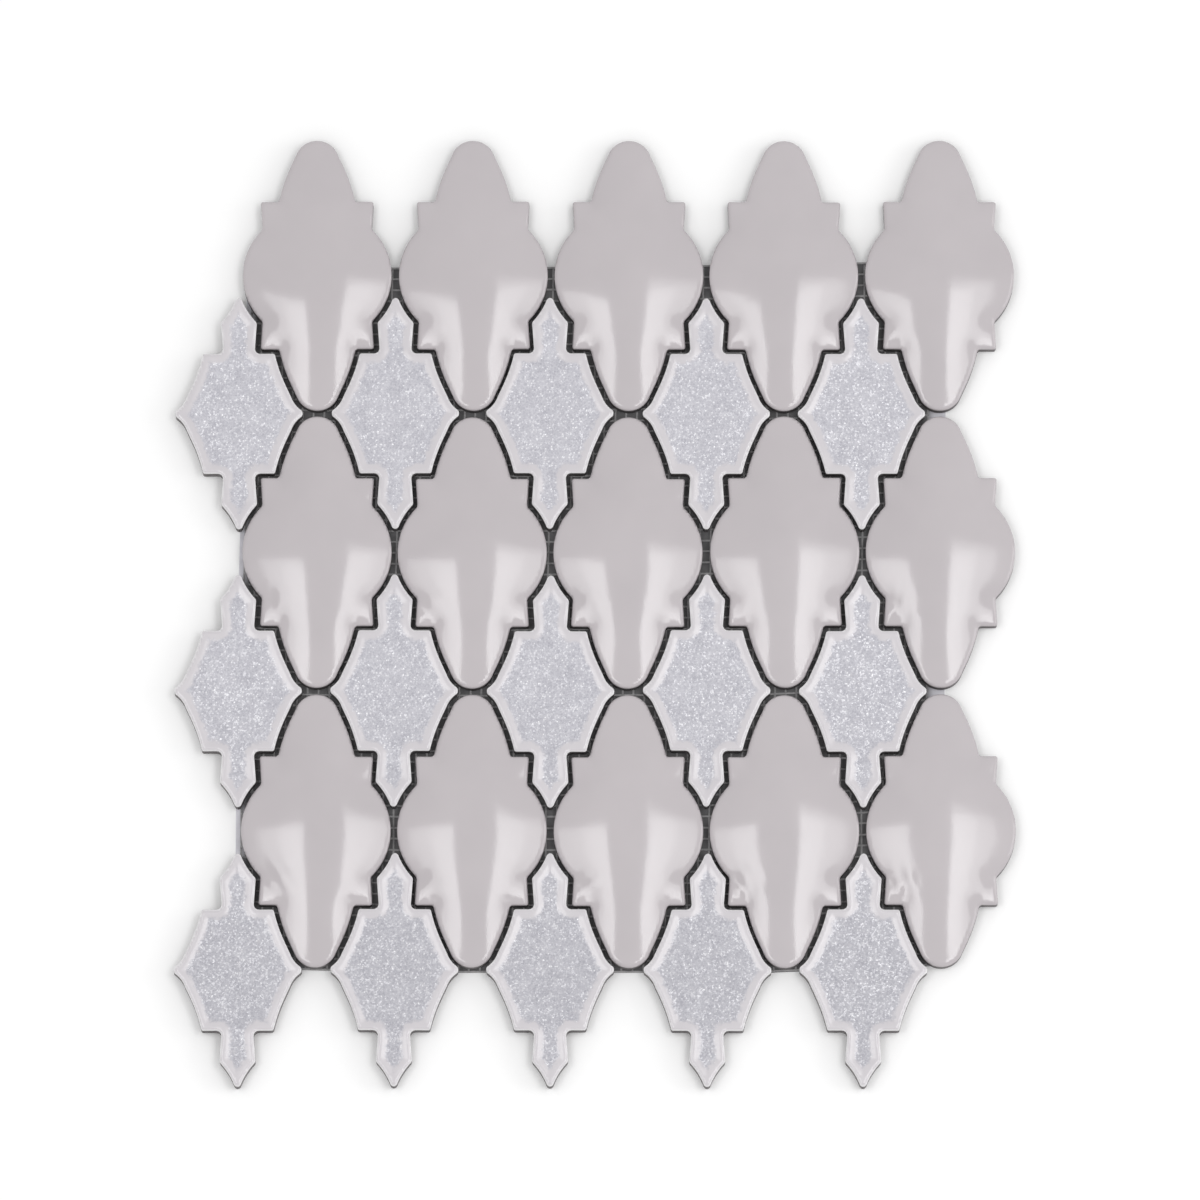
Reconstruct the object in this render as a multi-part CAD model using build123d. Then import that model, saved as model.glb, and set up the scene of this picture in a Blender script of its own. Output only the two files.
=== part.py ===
from build123d import *
import math
import os

# A sheet of wall mosaic lying face up: domed lantern tiles and smaller crackle tiles, stuck to a backed net.
# Millimetres. +Z points out of the faces and +Y towards the sheet's upper edge, where the lantern tiles begin.
# The origin is under the middle of the whole sheet, on the plane that the backing lies on.

# Layout of the sheet
ROWS = 3
COLUMNS = 5
ROW_PITCH = 101.0
COLUMN_PITCH = 56.0
LANTERN_JOINT = 2.4  # between two lantern tiles, at their lobes and at their tips
CRACKLE_JOINT = 1.8  # all round a crackle tile

# Lantern tile
LOBE_LENGTH = 33.4  # of each round side lobe, along the tile
SIDE_LENGTH = 10.2  # of the straight side from a lobe to a shoulder
TIP_RADIUS = 8.0  # of the round end of each tongue
LANTERN_EDGE = 5.6  # height of the walls, at the lobes and at the tips
LANTERN_RISE = 4.0  # of the domed face above those walls
RIDGE_LENGTH = 32.0  # of the dome's level middle, before it slopes to the tips

# Crackle tile, which fills the space between four lantern tiles
FINIAL_WIDTH = 13.0  # across the corners below the point
NECK_WIDTH = 12.0
SHOULDER_WIDTH = 25.2
END_POINT_CUT = 3.0  # how far the points fall short of where the joints would meet
SIDE_POINT_CUT = 1.8
CRACKLE_THICKNESS = 7.2
RIM_WIDTH = 3.4
POOL_DEPTH = 0.6

# Backing: a film that carries a net of flat yarns
UPPER_MARGIN = 4.0  # of the backing, beyond the axis of the upper row
FILM_THICKNESS = 0.1
YARN_PITCH = 4.0
YARN_WIDTH = 0.7
YARN_THICKNESS = 0.2

# Places that follow from the sizes above
lantern_x = (COLUMN_PITCH - LANTERN_JOINT) / 2
lantern_y = (ROW_PITCH - LANTERN_JOINT) / 2
tile_back = FILM_THICKNESS + 2 * YARN_THICKNESS


def from_crackle_axis(width):
    """Half width of a lantern tile where the crackle tile beside it has the given width."""
    return COLUMN_PITCH / 2 - CRACKLE_JOINT - width / 2


def lantern_outline():
    """Face with two round lobes, four square shoulders and a round-tipped tongue at each end."""
    lobe_end = Vector(from_crackle_axis(FINIAL_WIDTH), LOBE_LENGTH / 2)
    corner = Vector(from_crackle_axis(NECK_WIDTH), LOBE_LENGTH / 2 + SIDE_LENGTH)
    root = Vector(from_crackle_axis(SHOULDER_WIDTH), corner.Y)

    lobe = ThreePointArc((lobe_end.X, -lobe_end.Y), (lantern_x, 0), lobe_end)

    # The straight flanks run tangent into the round of the tip
    tip_middle = Vector(0, lantern_y - TIP_RADIUS)
    to_root = root - tip_middle
    turn = math.degrees(math.acos(TIP_RADIUS / to_root.length))
    tip_end = tip_middle + to_root.normalized().rotate(Axis.Z, turn) * TIP_RADIUS
    tip = ThreePointArc(tip_end, (0, lantern_y), (-tip_end.X, tip_end.Y))

    quarter = Curve() + [Line(lobe_end, corner), Line(corner, root), Line(root, tip_end)]
    upper = quarter + mirror(quarter, Plane.YZ) + tip
    return make_face(upper + mirror(upper, Plane.XZ) + lobe + mirror(lobe, Plane.YZ))


def space_between(lantern, margin):
    """Face of the space between four lantern tiles, a margin away from them, with sharp points."""
    grown = offset(lantern, margin, kind=Kind.INTERSECTION)
    space = Rectangle(COLUMN_PITCH, ROW_PITCH)
    for corner in GridLocations(COLUMN_PITCH, ROW_PITCH, 2, 2):
        space -= corner * grown
    return space


def crackle_outline(lantern):
    """Face that keeps the joint to the four lantern tiles round it, with blunt points."""
    space = space_between(lantern, CRACKLE_JOINT)
    size = space.bounding_box().size
    return space & Rectangle(size.X - 2 * SIDE_POINT_CUT, size.Y - 2 * END_POINT_CUT)


def pool_outline(lantern):
    """Straight-sided face, a rim's width inside the crackle tile's outline."""
    space = space_between(lantern, CRACKLE_JOINT + RIM_WIDTH)
    return make_face(Polyline([edge @ 0 for edge in space.wire().order_edges()], close=True))


def dome():
    """Solid under a level barrel and two that slope, which falls by the rise at the lobes and at the tips."""
    radius = (lantern_x**2 + LANTERN_RISE**2) / (2 * LANTERN_RISE)
    level = Pos(0, 0, -radius) * Rot(90, 0, 0) * Cylinder(radius, 4 * lantern_y)
    slope = Vector(lantern_y - RIDGE_LENGTH / 2, LANTERN_RISE).get_angle(Vector(1, 0))
    sloping = Pos(0, RIDGE_LENGTH / 2) * Rot(-slope, 0, 0) * level
    return Pos(0, 0, LANTERN_EDGE + LANTERN_RISE) * (level & sloping & mirror(sloping, Plane.XZ))


def lantern_tile(outline):
    """Straight-walled tile with a domed face."""
    return extrude(outline, LANTERN_EDGE + LANTERN_RISE) & dome()


def crackle_tile(outline, pool):
    """Straight-walled tile with a flat rim round a shallow pool."""
    pool_floor = Pos(0, 0, CRACKLE_THICKNESS - POOL_DEPTH)
    return extrude(outline, CRACKLE_THICKNESS) - extrude(pool_floor * pool, 2 * POOL_DEPTH)


def net_layer(span, length):
    """Flat parallel yarns along Y, spread evenly over the span."""
    spaces = round(span / YARN_PITCH)
    yarn = Box(YARN_WIDTH, length, YARN_THICKNESS, align=(Align.CENTER, Align.CENTER, Align.MIN))
    return [place * yarn for place in GridLocations(span / spaces, 0, spaces + 1, 1)]


lantern_face = lantern_outline()
crackle_face = crackle_outline(lantern_face)
crackle_x = crackle_face.bounding_box().max.X
crackle_y = crackle_face.bounding_box().max.Y

# The backing is trimmed at the axes of the outer columns and of the lower row, and above that of the upper row
layout_middle = Pos((crackle_x - lantern_x) / 2, (crackle_y - lantern_y) / 2)
backing_middle = layout_middle * Pos(0, UPPER_MARGIN / 2)
backing_width = (COLUMNS - 0.5) * COLUMN_PITCH
backing_height = (ROWS - 0.5) * ROW_PITCH + UPPER_MARGIN

lantern_places = layout_middle * Pos(COLUMN_PITCH / 4, ROW_PITCH / 4, tile_back)
crackle_places = layout_middle * Pos(-COLUMN_PITCH / 4, -ROW_PITCH / 4, tile_back)
lantern = lantern_tile(lantern_face)
crackle = crackle_tile(crackle_face, pool_outline(lantern_face))

nodes = {}
for row in range(ROWS):
    for column in range(COLUMNS):
        x = (column - (COLUMNS - 1) / 2) * COLUMN_PITCH
        y = ((ROWS - 1) / 2 - row) * ROW_PITCH
        place = f"r{row + 1}_c{column + 1}"
        nodes[f"lantern_tile_{place}"] = lantern_places * Pos(x, y) * lantern
        nodes[f"crackle_tile_{place}"] = crackle_places * Pos(x, y) * crackle

film = Box(backing_width, backing_height, FILM_THICKNESS, align=(Align.CENTER, Align.CENTER, Align.MIN))
warp = Compound(net_layer(backing_width - YARN_WIDTH, backing_height))
weft = Compound(net_layer(backing_height - YARN_WIDTH, backing_width))
nodes["backing_film"] = backing_middle * film
nodes["net_warp_yarns"] = backing_middle * Pos(0, 0, FILM_THICKNESS) * warp
nodes["net_weft_yarns"] = backing_middle * Pos(0, 0, FILM_THICKNESS + YARN_THICKNESS) * Rot(0, 0, 90) * weft

os.makedirs("parts", exist_ok=True)
for name, shape in nodes.items():
    export_step(shape, f"parts/{name}.step")
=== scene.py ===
import math
import random

import bmesh
import bpy
import numpy as np
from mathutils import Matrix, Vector


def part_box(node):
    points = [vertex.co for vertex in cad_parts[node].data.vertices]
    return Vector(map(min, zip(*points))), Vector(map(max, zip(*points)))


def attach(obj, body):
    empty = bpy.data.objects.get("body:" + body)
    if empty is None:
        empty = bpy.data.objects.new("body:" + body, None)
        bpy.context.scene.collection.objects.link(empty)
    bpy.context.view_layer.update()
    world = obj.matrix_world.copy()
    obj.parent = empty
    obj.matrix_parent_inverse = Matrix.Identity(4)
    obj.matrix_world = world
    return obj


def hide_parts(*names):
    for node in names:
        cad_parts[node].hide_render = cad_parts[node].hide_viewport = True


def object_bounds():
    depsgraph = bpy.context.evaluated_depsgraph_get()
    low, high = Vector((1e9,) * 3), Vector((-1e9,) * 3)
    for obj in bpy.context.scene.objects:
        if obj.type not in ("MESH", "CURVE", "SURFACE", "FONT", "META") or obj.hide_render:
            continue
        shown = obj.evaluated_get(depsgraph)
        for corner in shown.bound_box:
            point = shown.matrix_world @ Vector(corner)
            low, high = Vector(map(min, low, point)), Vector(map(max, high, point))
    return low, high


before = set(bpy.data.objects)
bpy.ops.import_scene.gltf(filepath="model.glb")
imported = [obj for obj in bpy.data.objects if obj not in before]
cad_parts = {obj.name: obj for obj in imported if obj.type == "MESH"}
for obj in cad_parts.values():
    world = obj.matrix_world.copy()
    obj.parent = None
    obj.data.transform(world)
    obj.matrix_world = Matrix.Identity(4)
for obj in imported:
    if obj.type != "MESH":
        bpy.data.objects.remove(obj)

cad_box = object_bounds()

# A sheet of wall mosaic: pillowed lantern tiles in a pearl grey glaze and smaller tiles with a pool of
# crackled glass, on a net of glass yarns with a grey film under it. Metres, in the frame of the CAD solids.
MM = 0.001
ROWS = 3
COLUMNS = 5
CORNER_TURN = 18  # degrees: an outline that turns by more has a corner there
GLAZE_RUN = 0.7 * MM  # how far the glaze runs down the walls

# Lantern tiles: a pillow that swells from an edge of one height, with flanks a little fuller than straight
LANTERN_EDGE = 6.0 * MM
LANTERN_RISE = 3.5 * MM
LANTERN_ROUND = 0.5 * MM
LANTERN_CORNER = 0.9 * MM
LANTERN_NOTCH = 0.8 * MM
LANTERN_MESH = 1.0 * MM
PILLOW_MESH = 0.3 * MM
PILLOW_SWEEPS = 600
PILLOW_OVERSHOOT = 1.95  # of each sweep's step, to settle sooner
FLANK_BULGE = 0.72 * MM
FLANK_START = 5.5 * MM  # from the tip
FLANK_SPAN = 18 * MM
FLANK_BOWED = 0.95  # share of the span that is bowed
FLANK_LONGER_THAN = 12 * MM
FLANK_CUTS = 12

# Shallow dents in a lantern's face, by their place in one quarter of it, their width and their depth
ROOT_DENT = (13.2 * MM, 25.4 * MM, 2.6 * MM, 0.22 * MM)
NOTCH_DENT = (18.0 * MM, 17.2 * MM, 3.0 * MM, 0.16 * MM)

# Wrinkles at a lantern's lower shoulders, where the glaze ran, and a slow wave over the whole face
EAR_X, EAR_Y = 16 * MM, -20 * MM
EAR_WIDTH = 6 * MM
EAR_WRINKLES = (0.02 * MM, 0.12 * MM, 0.26 * MM)  # by row
RIGHT_EAR = (0, 0.25)  # least and greatest share of the wrinkles
LEFT_EAR = (0.5, 1)
WRINKLE_LENGTH = 5.5 * MM
LANTERN_WAVE = 0.05 * MM
LANTERN_WAVE_LENGTH = 30 * MM

# Crackle tiles: a smooth rim that rolls down into the pool of crackled glass
CRACKLE_ROUND = 0.45 * MM
CRACKLE_NOTCH = 2.0 * MM
CRACKLE_END = 0.9 * MM
CRACKLE_CORNER = 0.6 * MM
CRACKLE_ENDS_BEYOND = 40 * MM
TIPS_BESIDE = 0.6 * MM  # where the lanterns' tips are taken to lie, from the tile's middle line
CRACKLE_MESH = 0.8 * MM
CRACKLE_WAVE = 0.03 * MM
CRACKLE_WAVE_LENGTH = 12 * MM
RIM_CREST = 1.2 * MM
POOL_START = 4.2 * MM
POOL_DEPTHS = (0.28 * MM, 0.30 * MM, 0.42 * MM)  # by row
GLASS_FURTHER_IN = 0.6 * MM  # than the slope that it lies on
# The rim is fully pale within this distance of the outline and fades out over the rounded edge: a painted
# highlight
EDGE_HIGHLIGHT_FULL = 0.12 * MM

# Tiles laid by hand
FACE_ABOVE = 2 * MM
MOST_TURN = 0.3  # degrees
MOST_SLIP = 0.25 * MM

# Net of flat yarns
YARN_WIDTH = 0.7 * MM
YARN_PITCH = 4 * MM
YARN_ROUND = 0.08 * MM
YARN_BENDS = 20
YARN_WANDER = (0.05 * MM, 0.14 * MM)  # least and greatest
WANDER_START = (0, 6.28)  # radians, about a full turn
WANDER_RATE = 90  # radians a metre

# Backing, cut by hand: how far each edge lies from a true rectangle, at even steps along it
LEFT_TRIM = (-1.0 * MM, -0.4 * MM, 2.9 * MM)  # from the lower end to the upper
RIGHT_TRIM = (1.0 * MM, 1.6 * MM, 2.6 * MM)
LOWER_TRIM = (1.6 * MM, 0, 0, 0, 2.6 * MM)  # from the left end to the right
UPPER_TRIM = (-0.3 * MM, 0.2 * MM, 2.2 * MM)
NET_SHORT = (1.6 * MM, 6.0 * MM)  # of the film's left and right sides
UNSHADED_LEFT = (1.5 * MM, 4.0 * MM)  # how far in the film keeps its own pale colour, and where its painted shade is full
UNSHADED_RIGHT = (4.0 * MM, 7.5 * MM)
FILM_COLUMNS, FILM_ROWS = 252, 8

# Stage
FLOOR_HALF = 4
FLOOR_BELOW = 0.05 * MM
SURROUND_LIGHT = 0.71
LAMP_HEIGHT = 1.992
LAMP_SOUTH = -0.564
LEFT_LAMP_NORTH = 0.259
RIGHT_LAMP_NORTH = 0.345
GRID_SPREAD = math.radians(90)
GRID_SHARE = 0.2146  # of a bare panel's power, for the same brightness straight down
CAMERA_TILT = math.radians(9)
CAMERA_AIM = Vector((0.0018, 0.0045, 0.005))
CAMERA_DISTANCE = 6.0
CAMERA_LENS = 501.4
CAMERA_SENSOR = 36


# Places and meshes

def middle_of(node):
    """The middle of a CAD node's box."""
    low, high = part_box(node)
    return [(a + b) / 2 for a, b in zip(low, high)]


def places_of(mesh):
    """Where a mesh's vertices are, as rows of an array."""
    places = np.empty(len(mesh.vertices) * 3)
    mesh.vertices.foreach_get("co", places)
    return places.reshape(-1, 3)


def mesh_from(bm, name):
    mesh = bpy.data.meshes.new(name)
    bm.to_mesh(mesh)
    bm.free()
    return mesh


def add_piece(name, mesh, node):
    """Puts a finished mesh on the sheet, in the place of a CAD node."""
    piece = bpy.data.objects.new(name, mesh)
    bpy.context.scene.collection.objects.link(piece)
    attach(piece, "root")
    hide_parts(node)


def smooth_step(low, high, value):
    """Rises smoothly from nought at low to one at high."""
    share = np.clip((value - low) / (high - low), 0, 1)
    return share * share * (3 - 2 * share)


# Tile blanks

def outline_of(node):
    """Flat face with a tile's outline, taken from the back of its CAD solid and centred on the origin."""
    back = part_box(node)[0].z
    x, y, _ = middle_of(node)
    bm = bmesh.new()
    bm.from_mesh(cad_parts[node].data)
    bmesh.ops.remove_doubles(bm, verts=bm.verts[:], dist=1e-6)
    upper = [f for f in bm.faces if f.calc_center_median().z > back + 1e-5]
    bmesh.ops.delete(bm, geom=upper, context="FACES")
    bmesh.ops.dissolve_faces(bm, faces=bm.faces[:])
    bmesh.ops.reverse_faces(bm, faces=bm.faces[:])
    bmesh.ops.translate(bm, vec=Vector((-x, -y, -back)), verts=bm.verts[:])
    return bm


def corner_turns(bm):
    """The corners of a flat outline with the angle that each turns through: outward corners are positive."""
    turns = []
    bm.faces.ensure_lookup_table()
    for loop in bm.faces[0].loops:
        before = loop.vert.co - loop.link_loop_prev.vert.co
        after = loop.link_loop_next.vert.co - loop.vert.co
        turn = math.degrees(math.atan2(before.cross(after).z, before.dot(after)))
        if abs(turn) > CORNER_TURN:
            turns.append((loop.vert, turn))
    return turns


def round_corners(bm, radius, wanted):
    """Rounds the outline's corners that the test picks by place and turn."""
    corners = [vert for vert, turn in corner_turns(bm) if wanted(vert.co, turn)]
    bmesh.ops.bevel(bm, geom=corners, affect="VERTICES", offset=radius, offset_type="OFFSET", segments=4,
                    profile=0.5, material=-1)


def swell_flanks(bm, from_tip, amount):
    """Bows the straight flanks along a lantern's tongue, by how far along the sheet its tip is."""
    flanks = [e for e in bm.edges if e.calc_length() > FLANK_LONGER_THAN]
    bmesh.ops.subdivide_edges(bm, edges=flanks, cuts=FLANK_CUTS)
    for vert in bm.verts:
        share = (from_tip(abs(vert.co.y)) - FLANK_START) / FLANK_SPAN
        if 0 < share < FLANK_BOWED:
            side = 1 if vert.co.x > 0 else -1
            vert.co.x += side * amount * math.sin(math.pi * share)


def outline_points(bm):
    """The corners of a flat outline in order, as rows of an array."""
    bm.faces.ensure_lookup_table()
    return np.array([loop.vert.co[:2] for loop in bm.faces[0].loops])


def ring_edge(bm, radius, rings=4):
    """Narrow rings inside the outline, spaced to carry a rounded edge."""
    before = 0
    for ring in range(1, rings + 1):
        inward = radius * (1 - math.cos(math.pi / 2 * ring / rings))
        bm.faces.ensure_lookup_table()
        middle = max(bm.faces, key=lambda f: f.calc_area())
        bmesh.ops.inset_region(bm, faces=[middle], thickness=inward - before, depth=0, use_even_offset=True)
        before = inward


def cut_grid(bm, step):
    """Cuts the face inside the rings into small squares."""
    inside = bm.faces.layers.int.new("inside")
    max(bm.faces, key=lambda f: f.calc_area())[inside] = 1
    for axis in (0, 1):
        reach = max(abs(v.co[axis]) for v in bm.verts)
        count = math.ceil(reach / step)
        direction = Vector((axis == 0, axis == 1, 0))
        for line in range(-count, count + 1):
            place = (line + 0.5) * step
            crossed = []
            for face in bm.faces:
                if face[inside]:
                    along = [v.co[axis] for v in face.verts]
                    if min(along) < place < max(along):
                        crossed.append(face)
            geom = dict.fromkeys(crossed)  # in an order that stays the same from run to run
            for face in crossed:
                geom.update(dict.fromkeys(face.edges))
                geom.update(dict.fromkeys(face.verts))
            bmesh.ops.bisect_plane(bm, geom=list(geom), dist=1e-7, plane_co=direction * place,
                                   plane_no=direction)


def distances(points, outline):
    """Distance of each point to the nearest side of the outline."""
    start = outline[None, :, :]
    side = np.roll(outline, -1, axis=0)[None, :, :] - start
    gap = points[:, None, :] - start
    share = np.clip((gap * side).sum(2) / (side * side).sum(2), 0, 1)
    return np.sqrt(((gap - share[:, :, None] * side) ** 2).sum(2).min(1))


def edge_drop(distance, radius):
    """How far a quarter round lies below the face at a distance from the edge."""
    inward = np.clip(radius - distance, 0, radius)
    return radius - np.sqrt(radius * radius - inward * inward)


def lay_surface(bm, heights):
    for vert, height in zip(bm.verts, heights):
        vert.co.z = height


def close_walls(bm):
    """Glazed top of the walls, bare walls below it and a flat back."""
    rim = [e for e in bm.edges if e.is_boundary]
    run = bmesh.ops.extrude_edge_only(bm, edges=rim)["geom"]
    for vert in [g for g in run if isinstance(g, bmesh.types.BMVert)]:
        vert.co.z -= GLAZE_RUN
    rim = [g for g in run if isinstance(g, bmesh.types.BMEdge) and g.is_boundary]
    wall = bmesh.ops.extrude_edge_only(bm, edges=rim)["geom"]
    for vert in [g for g in wall if isinstance(g, bmesh.types.BMVert)]:
        vert.co.z = 0
    foot = [g for g in wall if isinstance(g, bmesh.types.BMEdge) and g.is_boundary]
    back = bmesh.ops.contextual_create(bm, geom=foot)["faces"]
    bare = [g for g in wall if isinstance(g, bmesh.types.BMFace)] + back
    for face in bm.faces:
        face.smooth = True
    for face in bare:
        face.material_index = 1
    for edge in foot:
        edge.smooth = False
    bmesh.ops.recalc_face_normals(bm, faces=bm.faces[:])
    if bm.calc_volume(signed=True) < 0:
        bmesh.ops.reverse_faces(bm, faces=bm.faces[:])


# Lantern tile

def within(x, y, outline):
    """Whether points lie inside the outline."""
    inside = np.zeros(x.shape, bool)
    for (x1, y1), (x2, y2) in zip(outline, np.roll(outline, -1, axis=0)):
        if y1 != y2:
            inside ^= ((y1 > y) != (y2 > y)) & (x < x1 + (y - y1) * (x2 - x1) / (y2 - y1))
    return inside


def pillow(outline, x, y):
    """Height of a skin blown up over the outline, one at its highest, relaxed on a fine grid of a quarter."""
    across = np.arange(-1, math.ceil(outline[:, 0].max() / PILLOW_MESH) + 2) * PILLOW_MESH
    along = np.arange(-1, math.ceil(outline[:, 1].max() / PILLOW_MESH) + 2) * PILLOW_MESH
    grid_x, grid_y = np.meshgrid(across, along, indexing="ij")
    free = within(grid_x, grid_y, outline)
    free[[0, -1], :] = False
    free[:, [0, -1]] = False
    squares = np.add.outer(np.arange(len(across)), np.arange(len(along))) % 2
    turns = [free & (squares == 0), free & (squares == 1)]
    skin = np.zeros(free.shape)
    for _ in range(PILLOW_SWEEPS):
        for turn in turns:
            skin[0, :] = skin[2, :]
            skin[:, 0] = skin[:, 2]
            beside = np.zeros(free.shape)
            beside[1:-1, 1:-1] = skin[:-2, 1:-1] + skin[2:, 1:-1] + skin[1:-1, :-2] + skin[1:-1, 2:]
            skin[turn] += PILLOW_OVERSHOOT * (beside[turn] / 4 + 1 - skin[turn])
    skin /= skin.max()
    i = np.abs(x) / PILLOW_MESH + 1
    j = np.abs(y) / PILLOW_MESH + 1
    low_i, low_j = i.astype(int), j.astype(int)
    i, j = i - low_i, j - low_j
    return ((1 - i) * (1 - j) * skin[low_i, low_j] + i * (1 - j) * skin[low_i + 1, low_j]
            + (1 - i) * j * skin[low_i, low_j + 1] + i * j * skin[low_i + 1, low_j + 1])


def dent(x, y, place_x, place_y, width, depth):
    """Depth of a dent at a place and at its three mirror images, fading with distance."""
    gap = (np.abs(x) - place_x) ** 2 + (np.abs(y) - place_y) ** 2
    return depth * np.exp(-gap / (width * width))


def lantern_blank():
    """One lantern tile, before it is laid."""
    node = "lantern_tile_r1_c1"
    low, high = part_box(node)
    tip = (high.y - low.y) / 2
    bm = outline_of(node)
    swell_flanks(bm, lambda y: tip - y, FLANK_BULGE)
    round_corners(bm, LANTERN_CORNER, lambda place, turn: turn > 0)
    round_corners(bm, LANTERN_NOTCH, lambda place, turn: turn < 0)
    outline = outline_points(bm)
    ring_edge(bm, LANTERN_ROUND)
    cut_grid(bm, LANTERN_MESH)
    points = np.array([v.co[:2] for v in bm.verts])
    x, y = points[:, 0], points[:, 1]
    face = LANTERN_EDGE + LANTERN_RISE * pillow(outline, x, y)
    face -= dent(x, y, *ROOT_DENT) + dent(x, y, *NOTCH_DENT)
    lay_surface(bm, face - edge_drop(distances(points, outline), LANTERN_ROUND))
    close_walls(bm)
    return mesh_from(bm, "lantern")


# Crackle tile

def crackle_blank(pool_depth):
    """One crackle tile, before it is laid, with its pool and the painted highlight along its rounded edge
    marked.
    """
    node = "crackle_tile_r1_c1"
    low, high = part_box(node)
    bm = outline_of(node)
    swell_flanks(bm, lambda y: y - TIPS_BESIDE, -FLANK_BULGE)
    round_corners(bm, CRACKLE_NOTCH, lambda place, turn: turn < 0)
    round_corners(bm, CRACKLE_END, lambda place, turn: turn > 0 and abs(place.y) > CRACKLE_ENDS_BEYOND)
    round_corners(bm, CRACKLE_CORNER, lambda place, turn: turn > 0 and abs(place.y) < CRACKLE_ENDS_BEYOND)
    outline = outline_points(bm)
    ring_edge(bm, CRACKLE_ROUND)
    cut_grid(bm, CRACKLE_MESH)
    points = np.array([v.co[:2] for v in bm.verts])
    distance = distances(points, outline)
    slope = pool_depth * smooth_step(RIM_CREST, POOL_START, distance)
    lay_surface(bm, high.z - low.z - slope - edge_drop(distance, CRACKLE_ROUND))
    pool = bm.verts.layers.float.new("pool")
    painted_edge_highlight = bm.verts.layers.float.new("painted_edge_highlight")
    for vert, gap in zip(bm.verts, distance):
        vert[pool] = smooth_step(RIM_CREST + GLASS_FURTHER_IN, POOL_START + GLASS_FURTHER_IN, gap)
        # Marks the painted highlight along the rounded edge
        vert[painted_edge_highlight] = 1 - smooth_step(EDGE_HIGHLIGHT_FULL, CRACKLE_ROUND, gap)
    close_walls(bm)
    return mesh_from(bm, "crackle")


# Laying the tiles

def waves(x, y, chance, length, count):
    """Smooth seeded unevenness between about minus one and one."""
    total = np.zeros_like(x)
    for _ in range(count):
        angle = chance.uniform(0, 2 * math.pi)
        size = 2 * math.pi / (length * chance.uniform(0.7, 1.4))
        phase = chance.uniform(0, 2 * math.pi)
        total += np.sin(size * (x * math.cos(angle) + y * math.sin(angle)) + phase)
    return total / count


def lantern_unevenness(x, y, row, chance):
    """Wrinkles at the lower shoulders, mostly at the left one, and a slow wave."""
    ears = np.exp(-((np.abs(x) - EAR_X) ** 2 + (y - EAR_Y) ** 2) / EAR_WIDTH ** 2)
    ears *= np.where(x > 0, chance.uniform(*RIGHT_EAR), chance.uniform(*LEFT_EAR))
    wrinkles = EAR_WRINKLES[row] * ears * (waves(x, y, chance, WRINKLE_LENGTH, count=3) - 1)
    return wrinkles + LANTERN_WAVE * (waves(x, y, chance, LANTERN_WAVE_LENGTH, count=5) - 1)


def crackle_unevenness(x, y, chance):
    return CRACKLE_WAVE * (waves(x, y, chance, CRACKLE_WAVE_LENGTH, count=6) - 1)


def lay_tile(blank, node, finishes, unevenness, chance):
    """Puts a copy of the blank where the CAD node is, uneven on its face and laid a little askew by hand."""
    mesh = blank.copy()
    places = places_of(mesh)
    face = places[:, 2] > FACE_ABOVE
    places[face, 2] += unevenness(places[face, 0], places[face, 1])
    turn = math.radians(chance.uniform(-MOST_TURN, MOST_TURN))
    spun = np.array([[math.cos(turn), math.sin(turn)], [-math.sin(turn), math.cos(turn)]])
    places[:, :2] = places[:, :2] @ spun
    x, y, _ = middle_of(node)
    places += [x, y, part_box(node)[0].z]
    for axis in (0, 1):
        slip = chance.uniform(-MOST_SLIP, MOST_SLIP)
        room_before = cad_box[0][axis] - places[:, axis].min()
        room_after = cad_box[1][axis] - places[:, axis].max()
        places[:, axis] += min(max(slip, room_before), room_after)
    mesh.vertices.foreach_set("co", places.ravel())
    for finish in finishes:
        mesh.materials.append(finish)
    add_piece(node + "_glazed", mesh, node)


# Backing

def along_edge(share, trim):
    """How far a cut edge lies from the true one at a share of its length."""
    return np.interp(share, np.linspace(0, 1, len(trim)), trim)


def trim_edges(mesh, short=(0, 0)):
    """Moves what lies on the backing to where it is once the edges are cut, or short of the cut sides."""
    low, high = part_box("backing_film")
    places = places_of(mesh)
    across = (places[:, 0] - low.x) / (high.x - low.x)
    along = (places[:, 1] - low.y) / (high.y - low.y)
    left = along_edge(along, LEFT_TRIM) + short[0]
    right = along_edge(along, RIGHT_TRIM) - short[1]
    lower, upper = along_edge(across, LOWER_TRIM), along_edge(across, UPPER_TRIM)
    places[:, 0] += left + (right - left) * across
    places[:, 1] += lower + (upper - lower) * along
    mesh.vertices.foreach_set("co", places.ravel())


def cut_film(finish):
    """The film under the net, with its pale sides, where it has no painted shade, marked."""
    low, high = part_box("backing_film")
    x, y, _ = middle_of("backing_film")
    size = high - low
    bm = bmesh.new()
    bmesh.ops.create_grid(bm, x_segments=FILM_COLUMNS, y_segments=FILM_ROWS, size=0.5)
    bmesh.ops.scale(bm, vec=Vector((size.x, size.y, 1)), verts=bm.verts[:])
    bmesh.ops.translate(bm, vec=Vector((x, y, low.z)), verts=bm.verts[:])
    face = bmesh.ops.extrude_face_region(bm, geom=bm.faces[:])["geom"]
    raised = [g for g in face if isinstance(g, bmesh.types.BMVert)]
    bmesh.ops.translate(bm, vec=Vector((0, 0, size.z)), verts=raised)
    bmesh.ops.recalc_face_normals(bm, faces=bm.faces[:])
    bare = bm.verts.layers.float.new("bare")
    for vert in bm.verts:
        from_left, from_right = vert.co.x - low.x, high.x - vert.co.x
        # One where the film keeps its own pale colour, nought where its painted shade is full
        vert[bare] = 2 - smooth_step(*UNSHADED_LEFT, from_left) - smooth_step(*UNSHADED_RIGHT, from_right)
    mesh = mesh_from(bm, "cut_film")
    trim_edges(mesh)
    mesh.materials.append(finish)
    add_piece("cut_film", mesh, "backing_film")


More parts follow.
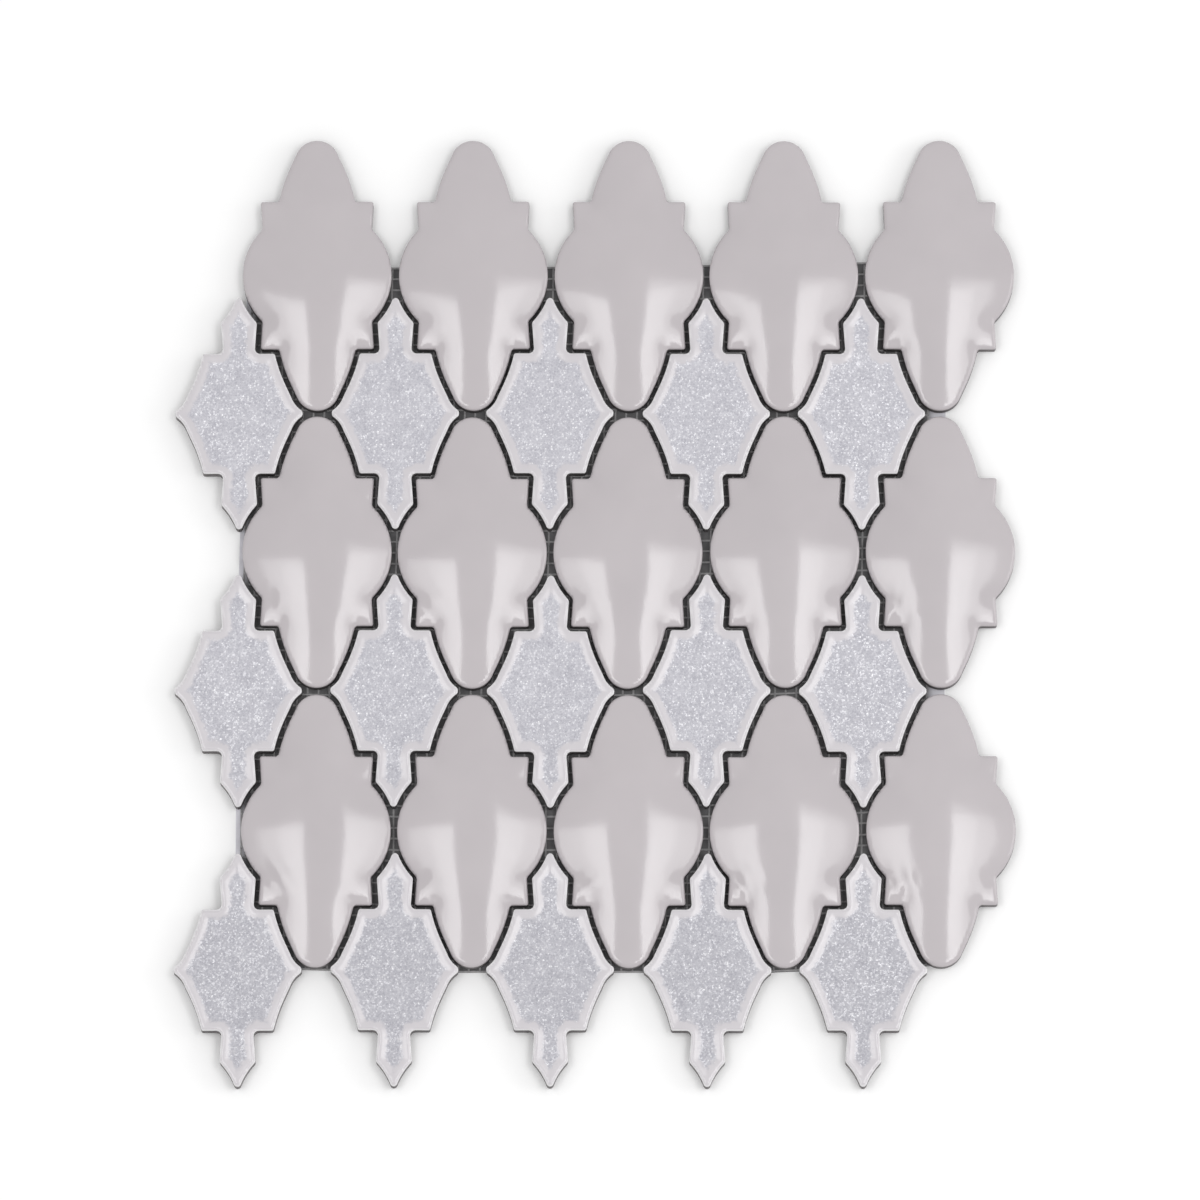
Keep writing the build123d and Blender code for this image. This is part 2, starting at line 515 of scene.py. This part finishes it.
def straight_yarn(size, axis):
    """One flat yarn along the axis, with rounded edges and enough rings to bend."""
    def long_edges():
        return [e for e in bm.edges if abs(e.verts[0].co[axis] - e.verts[1].co[axis]) > size[axis] / 2]

    bm = bmesh.new()
    bmesh.ops.create_cube(bm, size=1)
    bmesh.ops.scale(bm, vec=Vector(size), verts=bm.verts[:])
    bmesh.ops.bevel(bm, geom=long_edges(), affect="EDGES", offset=YARN_ROUND, offset_type="OFFSET",
                    segments=2, profile=0.5, material=-1)
    bmesh.ops.subdivide_edges(bm, edges=long_edges(), cuts=YARN_BENDS, use_grid_fill=True)
    for face in bm.faces:
        face.smooth = True
    return mesh_from(bm, "yarn")


def yarns(name, node, axis, finish):
    """Flat yarns with a slight wander along the axis, where the CAD node's yarns are."""
    low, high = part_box(node)
    across = 1 - axis
    span = high[across] - low[across] - YARN_WIDTH
    spaces = round(span / YARN_PITCH)
    size = [YARN_WIDTH, YARN_WIDTH, high.z - low.z]
    size[axis] = high[axis] - low[axis]
    yarn = straight_yarn(size, axis)
    straight = places_of(yarn)
    chance = random.Random(name)
    net = bmesh.new()
    laid = []
    for line in range(spaces + 1):
        net.from_mesh(yarn)
        places = straight + middle_of(node)
        places[:, across] = straight[:, across] + low[across] + YARN_WIDTH / 2 + line * span / spaces
        start, swing = chance.uniform(*WANDER_START), chance.uniform(*YARN_WANDER)
        if 0 < line < spaces:
            places[:, across] += swing * np.sin(start + straight[:, axis] * WANDER_RATE)
        laid.append(places)
    bpy.data.meshes.remove(yarn)
    mesh = mesh_from(net, name)
    mesh.vertices.foreach_set("co", np.concatenate(laid).ravel())
    trim_edges(mesh, NET_SHORT)
    mesh.materials.append(finish)
    add_piece(name, mesh, node)


# Finishes

class Finish:
    """A material with its principled shader, and short ways to add and join nodes."""

    def __init__(self, name):
        self.material = bpy.data.materials.new(name)
        self.material.use_nodes = True
        self.tree = self.material.node_tree
        self.shader = self.tree.nodes["Principled BSDF"]
        self.place = self.add("ShaderNodeTexCoord").outputs["Object"]

    def add(self, kind, **settings):
        node = self.tree.nodes.new(kind)
        for name, value in settings.items():
            setattr(node, name, value)
        return node

    def join(self, output, node, name):
        self.tree.links.new(output, node.inputs[name])

    def attribute(self, name):
        return self.add("ShaderNodeAttribute", attribute_name=name).outputs["Fac"]

    def noise(self, scale, detail=2.0, roughness=0.5):
        node = self.add("ShaderNodeTexNoise")
        self.join(self.place, node, "Vector")
        node.inputs["Scale"].default_value = scale
        node.inputs["Detail"].default_value = detail
        node.inputs["Roughness"].default_value = roughness
        return node.outputs["Fac"]

    def cells(self, scale, feature="F1"):
        node = self.add("ShaderNodeTexVoronoi", feature=feature)
        self.join(self.place, node, "Vector")
        node.inputs["Scale"].default_value = scale
        node.inputs["Randomness"].default_value = 1.0
        return node.outputs

    def ramp(self, value, *stops):
        node = self.add("ShaderNodeValToRGB")
        self.join(value, node, "Fac")
        band = node.color_ramp
        while len(band.elements) < len(stops):
            band.elements.new(0.5)
        for element, (position, colour) in zip(band.elements, stops):
            element.position = position
            element.color = (*colour, 1)
        return node.outputs["Color"]

    def span(self, value, low, high, start=0.0, end=1.0):
        node = self.add("ShaderNodeMapRange")
        self.join(value, node, "Value")
        node.inputs["From Min"].default_value = start
        node.inputs["From Max"].default_value = end
        node.inputs["To Min"].default_value = low
        node.inputs["To Max"].default_value = high
        return node.outputs["Result"]

    def combine(self, operation, one, two):
        node = self.add("ShaderNodeMath", operation=operation)
        self.join(one, node, 0)
        self.join(two, node, 1)
        return node.outputs["Value"]

    def vector(self, operation, one, two=None):
        """Vector maths on one output alone, or with a second output or a constant."""
        node = self.add("ShaderNodeVectorMath", operation=operation)
        self.join(one, node, 0)
        if isinstance(two, tuple):
            node.inputs[1].default_value = two
        elif two is not None:
            self.join(two, node, "Scale" if operation == "SCALE" else 1)
        return node.outputs["Vector"]

    def blend(self, share, one, two, way="MIX"):
        """Colours one and two, each an output or a constant, by a share that is an output or a number."""
        node = self.add("ShaderNodeMix", data_type="RGBA", blend_type=way)
        for name, value in {"A": one, "B": two}.items():
            socket = [s for s in node.inputs if s.name == name and s.type == "RGBA"][0]
            if isinstance(value, tuple):
                socket.default_value = (*value, 1)
            else:
                self.tree.links.new(value, socket)
        factor = [s for s in node.inputs if s.name == "Factor" and s.type == "VALUE"][0]
        if isinstance(share, float):
            factor.default_value = share
        else:
            self.tree.links.new(share, factor)
        return [s for s in node.outputs if s.type == "RGBA"][0]

    def bump(self, height, distance, strength):
        node = self.add("ShaderNodeBump")
        self.join(height, node, "Height")
        node.inputs["Distance"].default_value = distance
        node.inputs["Strength"].default_value = strength
        return node.outputs["Normal"]


def pearl_grey_glaze():
    finish = Finish("pearl_grey_glaze")
    cloud = finish.noise(45, 3)
    colour = finish.ramp(cloud, (0.3, (0.482, 0.449, 0.464)), (0.7, (0.507, 0.472, 0.487)))
    finish.join(colour, finish.shader, "Base Color")
    finish.join(finish.span(finish.noise(160, 4), 0.09, 0.12), finish.shader, "Roughness")
    finish.join(finish.bump(finish.noise(260, 2), 0.04 * MM, 0.35), finish.shader, "Normal")
    return finish.material


def bare_clay():
    finish = Finish("bare_clay")
    grit = finish.noise(420, 5, 0.65)
    colour = finish.ramp(grit, (0.3, (0.115, 0.106, 0.108)), (0.7, (0.17, 0.156, 0.159)))
    finish.join(colour, finish.shader, "Base Color")
    finish.shader.inputs["Roughness"].default_value = 0.75
    finish.join(finish.bump(finish.noise(900, 4), 0.1 * MM, 0.5), finish.shader, "Normal")
    return finish.material


def crackle_glaze():
    """A pale rim with a painted highlight along its rounded edge, and a pool of cracked glass with painted
    glints, darkened towards the lower row by painted shade.
    """
    finish = Finish("crackle_glaze")
    ragged = finish.span(finish.noise(500, 3), -0.35, 0.35, 0.25, 0.75)
    pool = finish.span(finish.combine("ADD", finish.attribute("pool"), ragged), 0.0, 1.0, 0.25, 0.8)
    # Cells that set the glass's grain and also place the painted glints
    shards_and_painted_glints = finish.cells(1300)
    flakes = finish.cells(1700)
    cracks = finish.cells(1000, "DISTANCE_TO_EDGE")

    tint = finish.ramp(finish.noise(150, 3), (0.3, (0.452, 0.447, 0.489)), (0.7, (0.532, 0.526, 0.566)))
    grain = finish.ramp(shards_and_painted_glints["Color"], (0.1, (0.86, 0.86, 0.88)), (0.9, (1.09, 1.09, 1.09)))
    glass = finish.blend(1.0, tint, grain, "MULTIPLY")
    line = finish.span(cracks["Distance"], 0.4, 0.0, 0.0, 0.1)
    glass = finish.blend(line, glass, (0.72, 0.715, 0.745))
    # White flecks blended into the base colour: painted glints on the glass
    painted_glint_pick = finish.span(shards_and_painted_glints["Color"], 0.0, 1.0, 0.6, 0.85)
    painted_glint_spot = finish.span(shards_and_painted_glints["Distance"], 1.0, 0.0, 0.12, 0.42)
    glass = finish.blend(finish.combine("MULTIPLY", painted_glint_pick, painted_glint_spot), glass, (0.95, 0.95, 0.96))
    # Pool glass darker towards the lower row: painted shade for light that falls off down the sheet
    sides = finish.add("ShaderNodeSeparateXYZ")
    finish.join(finish.place, sides, "Vector")
    lower_row, upper_row = middle_of(f"crackle_tile_r{ROWS}_c1")[1], middle_of("crackle_tile_r1_c1")[1]
    along = finish.span(sides.outputs["Y"], 0.0, 1.0, lower_row, upper_row)
    painted_row_shade = finish.ramp(along, (0.0, (0.90, 0.90, 0.90)), (0.5, (1.0, 1.0, 1.0)), (1.0, (1.03, 1.03, 1.03)))
    glass = finish.blend(1.0, glass, painted_row_shade, "MULTIPLY")
    rim = finish.ramp(finish.noise(90, 2), (0.3, (0.575, 0.550, 0.575)), (0.7, (0.605, 0.58, 0.602)))
    # Paler along the rounded edge: a painted highlight
    rim = finish.blend(finish.attribute("painted_edge_highlight"), rim, (0.80, 0.79, 0.80))
    finish.join(finish.blend(pool, rim, glass), finish.shader, "Base Color")

    facets = finish.vector("SUBTRACT", flakes["Color"], (0.5, 0.5, 0.5))
    tilt = finish.vector("SCALE", facets, finish.span(pool, 0.0, 0.20))
    lean = finish.vector("ADD", tilt, finish.add("ShaderNodeNewGeometry").outputs["Normal"])
    finish.join(finish.vector("NORMALIZE", lean), finish.shader, "Normal")
    finish.join(finish.span(pool, 0.20, 0.12), finish.shader, "Roughness")
    return finish.material


def glass_fibre():
    finish = Finish("glass_fibre")
    strands = finish.noise(700, 4)
    colour = finish.ramp(strands, (0.3, (0.26, 0.255, 0.26)), (0.7, (0.42, 0.412, 0.416)))
    finish.join(colour, finish.shader, "Base Color")
    finish.shader.inputs["Roughness"].default_value = 0.6
    finish.join(finish.bump(finish.noise(2500, 3), 0.08 * MM, 0.6), finish.shader, "Normal")
    return finish.material


def grey_film():
    """Dark under the tiles, where painted shade stands in for the shade of the joints, and pale, its own
    colour, near its sides.
    """
    finish = Finish("grey_film")
    cloud = finish.noise(300, 4)
    # Near-black film under the tiles: painted shade for the deep joints
    painted_shade = finish.ramp(cloud, (0.3, (0.08, 0.078, 0.081)), (0.7, (0.13, 0.127, 0.131)))
    pale = finish.ramp(cloud, (0.3, (0.62, 0.61, 0.655)), (0.7, (0.72, 0.71, 0.76)))
    finish.join(finish.blend(finish.attribute("bare"), painted_shade, pale), finish.shader, "Base Color")
    finish.shader.inputs["Roughness"].default_value = 0.55
    finish.join(finish.bump(finish.noise(1200, 3), 0.06 * MM, 0.4), finish.shader, "Normal")
    return finish.material


def floor_paint():
    finish = Finish("floor_paint")
    finish.shader.inputs["Base Color"].default_value = (0.985, 0.985, 0.985, 1)
    finish.shader.inputs["Roughness"].default_value = 1.0
    finish.shader.inputs["Specular IOR Level"].default_value = 0.0
    return finish.material


# Stage, light and camera

def pale_floor():
    bm = bmesh.new()
    bmesh.ops.create_grid(bm, x_segments=1, y_segments=1, size=FLOOR_HALF)
    bmesh.ops.translate(bm, vec=Vector((0, 0, -FLOOR_BELOW)), verts=bm.verts[:])
    mesh = mesh_from(bm, "floor")
    mesh.materials.append(floor_paint())
    floor = bpy.data.objects.new("floor", mesh)
    bpy.context.scene.collection.objects.link(floor)
    return floor


def white_surround():
    """A white room, full where it is seen, mirrored or looked through, and dimmer as a light."""
    world = bpy.data.worlds.new("studio")
    bpy.context.scene.world = world
    world.use_nodes = True
    tree = world.node_tree
    ways = tree.nodes.new("ShaderNodeLightPath").outputs
    seen = ways["Is Camera Ray"]
    for way in ("Is Glossy Ray", "Is Transmission Ray"):
        either = tree.nodes.new("ShaderNodeMath")
        either.operation = "MAXIMUM"
        tree.links.new(seen, either.inputs[0])
        tree.links.new(ways[way], either.inputs[1])
        seen = either.outputs["Value"]
    level = tree.nodes.new("ShaderNodeMapRange")
    tree.links.new(seen, level.inputs["Value"])
    level.inputs["To Min"].default_value = SURROUND_LIGHT
    level.inputs["To Max"].default_value = 1.0
    background = tree.nodes["Background"]
    background.inputs["Color"].default_value = (1, 1, 1, 1)
    tree.links.new(level.outputs["Result"], background.inputs["Strength"])


def light_panel(name, width, depth, place):
    """A rectangular panel that shines downwards until it is turned."""
    lamp = bpy.data.lights.new(name, "AREA")
    lamp.shape = "RECTANGLE"
    lamp.size = width
    lamp.size_y = depth
    panel = bpy.data.objects.new(name, lamp)
    panel.location = place
    bpy.context.scene.collection.objects.link(panel)
    return panel


def softbox(name, left, right, south, north, radiance):
    """A level panel that spans the given place overhead, with a grid that dims it towards the sides."""
    place = ((left + right) / 2, (south + north) / 2, LAMP_HEIGHT)
    panel = light_panel(name, right - left, north - south, place)
    lamp = panel.data
    lamp.spread = GRID_SPREAD
    lamp.energy = GRID_SHARE * radiance * math.pi * lamp.size * lamp.size_y


def fill_light():
    """A weak panel low at the right, turned to the sheet."""
    panel = light_panel("fill_right", width=1.2, depth=1.2, place=(2.2, 0, 1.1))
    panel.rotation_euler = panel.location.to_track_quat("Z", "Y").to_euler()
    panel.data.energy = 8.0


def camera_above():
    """Looks down on the sheet from far away, a little from its lower edge."""
    lens = bpy.data.cameras.new("camera")
    lens.sensor_width = CAMERA_SENSOR
    lens.lens = CAMERA_LENS
    lens.clip_end = 50
    camera = bpy.data.objects.new("camera", lens)
    away = Vector((0, -math.sin(CAMERA_TILT), math.cos(CAMERA_TILT)))
    camera.location = CAMERA_AIM + CAMERA_DISTANCE * away
    camera.rotation_euler = (CAMERA_TILT, 0, 0)
    bpy.context.scene.collection.objects.link(camera)
    return camera


# The sheet

glaze, clay, crackle, fibre = pearl_grey_glaze(), bare_clay(), crackle_glaze(), glass_fibre()
lantern_tile = lantern_blank()
for row in range(ROWS):
    crackle_tile = crackle_blank(POOL_DEPTHS[row])
    for column in range(COLUMNS):
        place = f"r{row + 1}_c{column + 1}"
        chance = random.Random(place)
        lay_tile(lantern_tile, f"lantern_tile_{place}", (glaze, clay),
                 lambda x, y: lantern_unevenness(x, y, row, chance), chance)
        lay_tile(crackle_tile, f"crackle_tile_{place}", (crackle, clay),
                 lambda x, y: crackle_unevenness(x, y, chance), chance)
    bpy.data.meshes.remove(crackle_tile)
bpy.data.meshes.remove(lantern_tile)
yarns("warp_yarns", "net_warp_yarns", 1, fibre)
yarns("weft_yarns", "net_weft_yarns", 0, fibre)
cut_film(grey_film())

floor = pale_floor()
white_surround()
softbox("softbox_left", -0.704, -0.332, LAMP_SOUTH, LEFT_LAMP_NORTH, 6.8)
softbox("softbox_left_wing", -0.963, -0.704, LAMP_SOUTH, LEFT_LAMP_NORTH, 5.0)
softbox("softbox_right", 0.325, 0.717, LAMP_SOUTH, RIGHT_LAMP_NORTH, 7.6)
softbox("softbox_right_wing", 0.717, 0.983, LAMP_SOUTH, RIGHT_LAMP_NORTH, 5.4)
softbox("softbox_right_head", 0.325, 0.983, RIGHT_LAMP_NORTH, 0.425, 3.6)
fill_light()
bpy.context.scene.camera = camera_above()
bpy.context.scene.view_settings.view_transform = "Standard"
